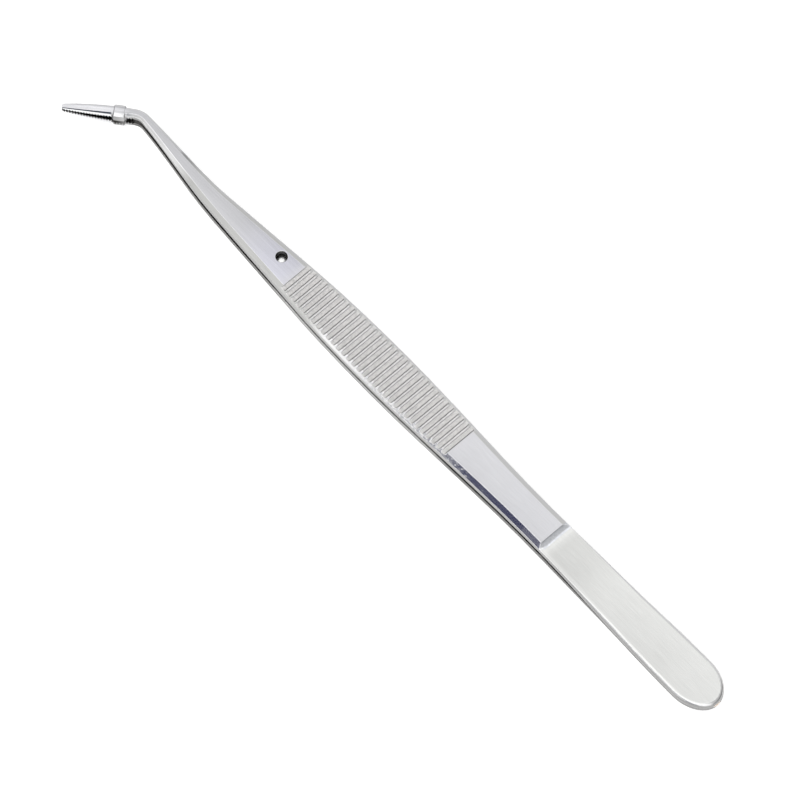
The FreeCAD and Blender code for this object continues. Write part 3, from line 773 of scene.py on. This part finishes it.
    def roughness(self, nodes: NodeBuilder, zone: Masks, surface: Surface,
                  worn: Socket) -> Socket:
        """The steel's roughness by its finish.

        Args:
            nodes: the material's builder.
            zone: the zones' masks.
            surface: the grain's values.
            worn: the mask of the worn near bevel.

        Returns:
            The roughness's socket.
        """
        rough = nodes.blend(zone[Zone.FLAT], self.edge_roughness, self.flat_roughness)
        rough = nodes.blend(zone[Zone.BEVEL], rough, self.bevel_roughness)
        rough = nodes.math("MULTIPLY_ADD", worn, self.worn_gain, rough)
        rough = nodes.blend(zone[Zone.ROW], rough, self.groove_roughness)
        return nodes.math("MULTIPLY_ADD", surface[Grain.CLOUD], self.cloud_roughness, rough)

    def colour(self, nodes: NodeBuilder, zone: Masks, near_bevel: Socket) -> Socket:
        """The steel's colour by its finish, with painted reflections, highlights and shade by
        zone.

        Args:
            nodes: the material's builder.
            zone: the zones' masks.
            near_bevel: the mask of the bevels on the near side.

        Returns:
            The colour's socket.
        """
        flat = nodes.mix(zone[Zone.PADDLE], self.flat, self.paddle)
        flat = nodes.mix(zone[Zone.SHANK], flat, self.shank)
        flat = nodes.mix(zone[Zone.NECK], flat, self.neck)
        # Painted darker reflection on the near bevels along the shank.
        near = nodes.mix(nodes.times(near_bevel, zone[Zone.DIM_BEVEL]), self.bevel,
                         self.shank_bevel_reflection)
        # Painted highlight on the near bevels along the bend.
        near = nodes.mix(zone[Zone.BEND], near, self.bend_bevel_highlight)
        # Painted darker reflection on the far bevels along the bend.
        far = nodes.mix(zone[Zone.BEND], self.bevel, self.far_bevel_reflection)
        narrow = nodes.times(near_bevel, zone[Zone.JAW],
                             nodes.math("SUBTRACT", 1.0, zone[Zone.COLLAR]))
        # Painted shade on the inner faces between the arms, lighter along the grooves.
        inner = nodes.mix(zone[Zone.NICK], self.inner, self.grip_inner)
        # Painted shade on the jaws' teeth between the jaws.
        inner = nodes.mix(zone[Zone.JAW], inner, self.teeth)
        colour = self.side_colour(nodes, zone)
        for mask, finish in (
                (zone[Zone.FLAT], flat),
                (zone[Zone.BEVEL], nodes.mix(zone[Zone.NEAR], far, near)),
                (zone[Zone.HOLLOW], self.hollow),
                (zone[Zone.RIM], self.paddle),
                # Painted dark reflection on the collars' chamfered ends.
                (zone[Zone.RAMP], self.ramp),
                (zone[Zone.ROW], self.land),
                (zone[Zone.GROOVE], self.groove),
                # Painted dark reflection on the grooves' hollow side.
                (zone[Zone.FOOT], self.foot),
                # Painted highlight on the grooves' steep side.
                (zone[Zone.WALL], self.wall),
                # Painted dark reflection on the jaws' narrow near bevels.
                (narrow, self.jaw_bevel_reflection),
                (zone[Zone.INNER], inner),
                # Painted shade in the lower teeth's notches.
                (zone[Zone.NOTCH_SHADE], self.notch_shade),
                # Painted shade on the drilled hole's wall.
                (zone[Zone.BORE], self.bore_shade)):
            colour = nodes.mix(mask, colour, finish)
        return colour

    def side_colour(self, nodes: NodeBuilder, zone: Masks) -> Socket:
        """The colour of the arms' narrow sides, with painted shade on the lower arm's sides and a
        painted highlight on the jaws' sides.
        """
        # Painted shade on the lower arm's sides, lighter along the grooves and round the butt.
        low = nodes.mix(zone[Zone.NICK], self.low_side_shade, self.grip_side_shade)
        low = nodes.mix(zone[Zone.BUTT], low, self.butt_side_shade)
        side = nodes.mix(zone[Zone.UNDER], self.edge, low)
        # Painted bright reflection on the jaws' sides.
        side = nodes.mix(zone[Zone.JAW], side, self.jaw_side_highlight)
        return nodes.mix(zone[Zone.COLLAR], side, self.edge)

    def tone(self, nodes: NodeBuilder, zone: Masks, surface: Surface) -> Socket:
        """The factor of the steel's colour by its grain and wear, with painted light and shade
        that stand for its gentle curves.

        Args:
            nodes: the material's builder.
            zone: the zones' masks.
            surface: the grain's values.

        Returns:
            The factor's socket.
        """
        grip, shank, jaw = self.streak_tones
        streak = nodes.blend(zone[Zone.JAW], nodes.blend(zone[Zone.SHANK], grip, shank), jaw)
        speckle = nodes.math("MAXIMUM", nodes.times(zone[Zone.ROW], self.row_speckle),
                             nodes.times(zone[Zone.HOLLOW], self.hollow_speckle))
        # Painted light and shade across the flats.
        across_shade = nodes.times(zone[Zone.FLAT], nodes.blend(zone[Zone.SHANK], *self.across_shading))
        # Painted highlight on the jaw's crown, on painted shade over the whole jaw flat.
        crown = nodes.math("MULTIPLY_ADD", zone[Zone.CROWN], *self.crown_highlight_tones)
        tone: Value = 1.0
        for value, factor in (
                (surface[Grain.TONE], self.line_tone),
                (surface[Grain.CLOUD], self.cloud_tone),
                (surface[Grain.STREAK], streak),
                (surface[Grain.SPECKLE], speckle),
                (zone[Zone.ACROSS], across_shade),
                (crown, nodes.times(zone[Zone.JAW], zone[Zone.FLAT])),
                # Painted light at the butt and painted shade before the step.
                (zone[Zone.BUTT], self.butt_painted_light),
                (zone[Zone.SPRING], -self.spring_painted_shade)):
            tone = nodes.math("MULTIPLY_ADD", value, factor, tone)
        return tone


@dataclass(frozen=True)
class PinSteel:
    """Polished steel of the guide pin, with faint grain.

    Attributes:
        name: the material's name.
        colour: the steel's colour.
        roughness: the polish.
        crown: how far the dome's crown is dressed flat.
        relief: height of the grain.
    """

    name: str = "polished_pin_steel"
    colour: Triple = (0.95, 0.95, 0.945)
    roughness: float = 0.30
    crown: float = 1.6
    relief: float = 0.000002

    def build(self, grain: GrainGroup) -> bpy.types.Material:
        """Makes the material with the shared grain group."""
        material, nodes, shader = new_metal(self.name)
        surface = grain.place(nodes, Line_Strength=0.3, Speckle_Strength=0.6)
        tone = nodes.math("MULTIPLY_ADD", surface[Grain.TONE], 0.2, 1.0)
        nodes.shade(shader, self.colour, tone)
        roughness = nodes.math("MULTIPLY_ADD", surface[Grain.CLOUD], 0.1, self.roughness)
        nodes.feed(shader.inputs["Roughness"], roughness)
        rounded, _ = nodes.corners(SMALL_CORNER)
        nodes.relief(shader, surface[Grain.HEIGHT], self.relief, rounded,
                     lean=(0.0, 0.0, self.crown))
        return material


@dataclass(frozen=True)
class WeldSteel:
    """Dressed weld metal at the butt, with a faint heat tint.

    Attributes:
        name: the material's name.
        colour: the dressed metal.
        straw: the heat tint's warm colour.
        plum: the heat tint's cooler colour.
        roughness: the metal's roughness.
        relief: height of the grain.
    """

    name: str = "dressed_weld_steel"
    colour: Colour = (0.72, 0.70, 0.68, 1.0)
    straw: Colour = (0.66, 0.52, 0.40, 1.0)
    plum: Colour = (0.52, 0.42, 0.50, 1.0)
    roughness: float = 0.26
    relief: float = 0.000012

    def build(self, grain: GrainGroup) -> bpy.types.Material:
        """Makes the material with the shared grain group."""
        material, nodes, shader = new_metal(self.name)
        surface = grain.place(nodes, Line_Strength=0.2, Speckle_Strength=2.5)
        speckle = surface[Grain.SPECKLE]
        colour = nodes.mix(nodes.step(speckle, -0.15, 0.1), self.colour, self.straw)
        colour = nodes.mix(nodes.step(speckle, 0.05, 0.25), colour, self.plum)
        nodes.feed(shader.inputs["Base Color"], colour)
        roughness = nodes.math("MULTIPLY_ADD", speckle, 0.2, self.roughness)
        nodes.feed(shader.inputs["Roughness"], roughness)
        rounded, _ = nodes.corners(SMALL_CORNER)
        nodes.relief(shader, surface[Grain.HEIGHT], self.relief, rounded)
        return material


def new_metal(name: str) -> tuple[bpy.types.Material, NodeBuilder, Node]:
    """Starts a bare metal material.

    Args:
        name: the material's name.

    Returns:
        The material, the builder of its nodes, and its metallic shader.
    """
    material = bpy.data.materials.new(name)
    material.use_nodes = True
    material.node_tree.nodes.clear()
    nodes = NodeBuilder(material.node_tree)
    shader = nodes.add("ShaderNodeBsdfPrincipled")
    shader.inputs["Metallic"].default_value = 1.0
    output = nodes.add("ShaderNodeOutputMaterial")
    nodes.feed(output.inputs["Surface"], shader.outputs[0])
    return material, nodes, shader


@dataclass
class Arms:
    """The two spring arms.

    Attributes:
        nodes: the arms' node names.
        finish: the steel that they are ground from.
    """

    nodes: tuple[str, str] = ("lower_arm", "upper_arm")
    finish: ArmSteel = field(default_factory=ArmSteel)

    def dress(self, grain: GrainGroup, zones: ZoneGroup) -> None:
        """Gives both arms their steel."""
        material = self.finish.build(grain, zones)
        for name in self.nodes:
            give(name, material)


@dataclass
class Joinery:
    """The guide pin and the weld bead that hold the arms together in line.

    Attributes:
        pin: the guide pin's node name.
        weld: the weld bead's node name.
        pin_finish: the pin's steel.
        weld_finish: the bead's metal.
    """

    pin: str = "guide_pin"
    weld: str = "butt_weld"
    pin_finish: PinSteel = field(default_factory=PinSteel)
    weld_finish: WeldSteel = field(default_factory=WeldSteel)

    def dress(self, grain: GrainGroup) -> None:
        """Gives the pin and the bead their metals."""
        give(self.pin, self.pin_finish.build(grain))
        give(self.weld, self.weld_finish.build(grain))


def give(name: str, material: bpy.types.Material) -> None:
    """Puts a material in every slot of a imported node."""
    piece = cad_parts[name]
    if not piece.data.materials:
        piece.data.materials.append(material)
    for slot in piece.material_slots:
        slot.material = material
    LOG.info("dressed %s in %s", name, material.name)


@dataclass(frozen=True)
class TentOpening:
    """An opening or a pane in the tent, which shows in the polished faces.

    Attributes:
        colour: what is seen in it.
        along: its reach along X, as the looked direction's X.
        across: its reach along Y.
        rise: its reach along Z.
        edge: softness of its edges.
    """

    colour: Colour
    along: Pair
    across: Pair
    rise: Pair
    edge: float = 0.02

    def mask(self, nodes: NodeBuilder, direction: Socket) -> Socket:
        """The opening's mask over the tent: 1 inside and 0 outside."""
        mask: Value = 1.0
        for value, (low, high) in zip(nodes.split(direction),
                                      (self.along, self.across, self.rise)):
            for limit, way in ((low, 1.0), (high, -1.0)):
                inside = nodes.step(value, limit, limit + way * self.edge)
                mask = nodes.times(mask, inside)
        return mask


# The room seen by the bevels along the grip, and the one seen by the jaws' bevels.
GRIP_OPENING = TentOpening((0.030, 0.034, 0.105, 1.0), (-0.05, 0.306), (0.40, 0.62), (0.6, 0.95))
JAW_OPENING = TentOpening((0.090, 0.105, 0.150, 1.0), (-0.75, -0.06), (0.70, 0.98), (0.38, 0.62),
                          0.04)
# The bright pane in the roof that shows at the foot of the step.
ROOF_PANE = TentOpening((1.35, 1.35, 1.35, 1.0), (-0.06, 0.24), (-0.50, -0.05), (0.90, 1.10), 0.08)


@dataclass
class Studio:
    """A pale floor, a white tent that is open towards the camera, and one soft lamp.

    Attributes:
        floor_size: side of the floor.
        floor_colour: the floor's colour.
        floor_lift: white added to the floor for the camera.
        wall_tone: brightness of the tent's walls.
        roof_tone: brightness of the tent's roof.
        near_tone: brightness that the lit near side adds.
        butt_tone: brightness that the shaded end behind the butt takes away.
        jaw_tone: brightness that the shaded end beyond the jaws takes away.
        skirt_tone: brightness that the tent's lower edge takes away.
        least_tone: the least brightness of the tent.
        lamp_power: the soft lamp's power in watts.
        lamp_size: diameter of the soft lamp.
        lamp_place: where the soft lamp hangs.
        openings: the tent's openings.
    """

    floor_size: float = 6.0
    floor_colour: Colour = (0.86, 0.86, 0.86, 1.0)
    floor_lift: float = 0.5
    wall_tone: float = 0.66
    roof_tone: float = 1.0
    near_tone: float = 0.36
    butt_tone: float = 0.38
    jaw_tone: float = 0.55
    skirt_tone: float = 0.15
    least_tone: float = 0.04
    lamp_power: float = 0.70
    lamp_size: float = 0.36
    lamp_place: Triple = (0.15, -0.50, 1.72)
    openings: tuple[TentOpening, ...] = (GRIP_OPENING, JAW_OPENING, ROOF_PANE)

    def build(self) -> None:
        """Makes the floor, the world and the lamp."""
        self.build_floor()
        self.build_world()
        self.build_lamp()

    def build_floor(self) -> None:
        """A flat pale floor under the resting plane."""
        mesh = bpy.data.meshes.new("studio_floor")
        shape = bmesh.new()
        bmesh.ops.create_grid(shape, x_segments=1, y_segments=1, size=self.floor_size / 2)
        shape.to_mesh(mesh)
        shape.free()
        floor = bpy.data.objects.new("studio_floor", mesh)
        bpy.context.scene.collection.objects.link(floor)
        mesh.materials.append(self.floor_material())
        LOG.info("laid %s", floor.name)

    def floor_material(self) -> bpy.types.Material:
        """White paper, lifted to white where the camera or a mirror sees it."""
        material = bpy.data.materials.new("white_paper")
        material.use_nodes = True
        material.node_tree.nodes.clear()
        nodes = NodeBuilder(material.node_tree)
        paper = nodes.add("ShaderNodeBsdfPrincipled")
        paper.inputs["Base Color"].default_value = self.floor_colour
        paper.inputs["Roughness"].default_value = 0.9
        paper.inputs["Specular IOR Level"].default_value = 0.1
        seen = nodes.add("ShaderNodeLightPath")
        looked = nodes.math("MAXIMUM", seen.outputs["Is Camera Ray"],
                            seen.outputs["Is Glossy Ray"])
        looked = nodes.math("MAXIMUM", looked, seen.outputs["Is Transmission Ray"])
        paper.inputs["Emission Color"].default_value = WHITE
        nodes.feed(paper.inputs["Emission Strength"], nodes.times(looked, self.floor_lift))
        output = nodes.add("ShaderNodeOutputMaterial")
        nodes.feed(output.inputs["Surface"], paper.outputs[0])
        return material

    def build_world(self) -> None:
        """A white tent: a bright roof and greyer walls, white behind the object."""
        world = bpy.data.worlds.new("white_tent")
        world.use_nodes = True
        world.node_tree.nodes.clear()
        nodes = NodeBuilder(world.node_tree)
        direction = nodes.add("ShaderNodeTexCoord").outputs["Generated"]
        along, across, rise = nodes.split(direction)
        tent = nodes.blend(nodes.step(rise, 0.25, 0.9), self.wall_tone, self.roof_tone)
        far = nodes.step(across, 0.3, 0.0)
        near_side = nodes.times(nodes.step(across, -0.25, 0.15), nodes.step(across, 0.95, 0.5))
        butt_end = nodes.times(nodes.step(along, 0.10, -0.25), far)
        jaw_end = nodes.times(nodes.step(along, 0.6, 0.75), far,
                              nodes.step(across, -0.60, -0.45))
        for mask, change in ((near_side, self.near_tone), (butt_end, -self.butt_tone),
                             (jaw_end, -self.jaw_tone),
                             (nodes.step(rise, 0.20, 0.08), -self.skirt_tone)):
            tent = nodes.math("MULTIPLY_ADD", mask, change, tent)
        tent = nodes.math("MAXIMUM", tent, self.least_tone)
        seen = nodes.add("ShaderNodeLightPath")
        light = nodes.add("ShaderNodeCombineXYZ")
        for socket in light.inputs:
            nodes.feed(socket, tent)
        colour = light.outputs[0]
        for opening in self.openings:
            mask = nodes.times(opening.mask(nodes, direction), seen.outputs["Is Glossy Ray"])
            colour = nodes.mix(mask, colour, opening.colour)
        colour = nodes.mix(seen.outputs["Is Camera Ray"], colour, WHITE)
        background = nodes.add("ShaderNodeBackground")
        nodes.feed(background.inputs["Color"], colour)
        output = nodes.add("ShaderNodeOutputWorld")
        nodes.feed(output.inputs["Surface"], background.outputs[0])
        bpy.context.scene.world = world
        LOG.info("pitched %s", world.name)

    def build_lamp(self) -> None:
        """One large soft lamp, turned to the object."""
        data = bpy.data.lights.new("soft_lamp", "AREA")
        data.shape = "DISK"
        data.size = self.lamp_size
        data.energy = self.lamp_power
        lamp = bpy.data.objects.new("soft_lamp", data)
        lamp.visible_glossy = False
        lamp.location = self.lamp_place
        aim = -Vector(self.lamp_place)
        lamp.rotation_mode = "QUATERNION"
        lamp.rotation_quaternion = aim.to_track_quat("-Z", "Y")
        bpy.context.scene.collection.objects.link(lamp)
        LOG.info("hung %s", lamp.name)


@dataclass
class LongLensCamera:
    """The camera of the photograph: a long lens, high over the near side of the butt.

    Attributes:
        aim: the point in the middle of the picture.
        azimuth: direction of the camera round the object, in degrees from +X.
        elevation: the camera's height over the object, in degrees.
        roll: turn of the picture about the line of sight, in degrees.
        distance: from the aim to the camera.
        lens: focal length in millimetres.
        sensor: sensor width in millimetres.
    """

    aim: Triple = (0.02576, 0.00099, -0.00016)
    azimuth: float = 137.93
    elevation: float = 65.47
    roll: float = 0.2
    distance: float = 3.805
    lens: float = 1000.0
    sensor: float = 36.0

    def build(self) -> None:
        """Makes the camera and gives it to the scene."""
        data = bpy.data.cameras.new("long_lens")
        data.lens = self.lens
        data.sensor_width = self.sensor
        data.clip_start = 0.01
        data.clip_end = 20.0
        camera = bpy.data.objects.new("long_lens", data)
        turn, lift = math.radians(self.azimuth), math.radians(self.elevation)
        back = Vector((math.cos(lift) * math.cos(turn), math.cos(lift) * math.sin(turn),
                       math.sin(lift)))
        level = (-back).to_track_quat("-Z", "Y")
        camera.rotation_mode = "QUATERNION"
        camera.rotation_quaternion = level @ Quaternion((0.0, 0.0, 1.0), -math.radians(self.roll))
        camera.location = Vector(self.aim) + back * self.distance
        bpy.context.scene.collection.objects.link(camera)
        bpy.context.scene.camera = camera
        LOG.info("set up %s", camera.name)


def main() -> None:
    """Dresses the forceps and sets up the studio and the camera."""
    logging.basicConfig(level=logging.INFO, format="%(name)s: %(message)s")
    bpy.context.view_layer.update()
    grain = GrainGroup()
    zones = ZoneGroup()
    Arms().dress(grain, zones)
    Joinery().dress(grain)
    Studio().build()
    LongLensCamera().build()
    bpy.context.scene.view_settings.view_transform = "Standard"
    bpy.context.view_layer.update()


if __name__ == "__main__":
    main()
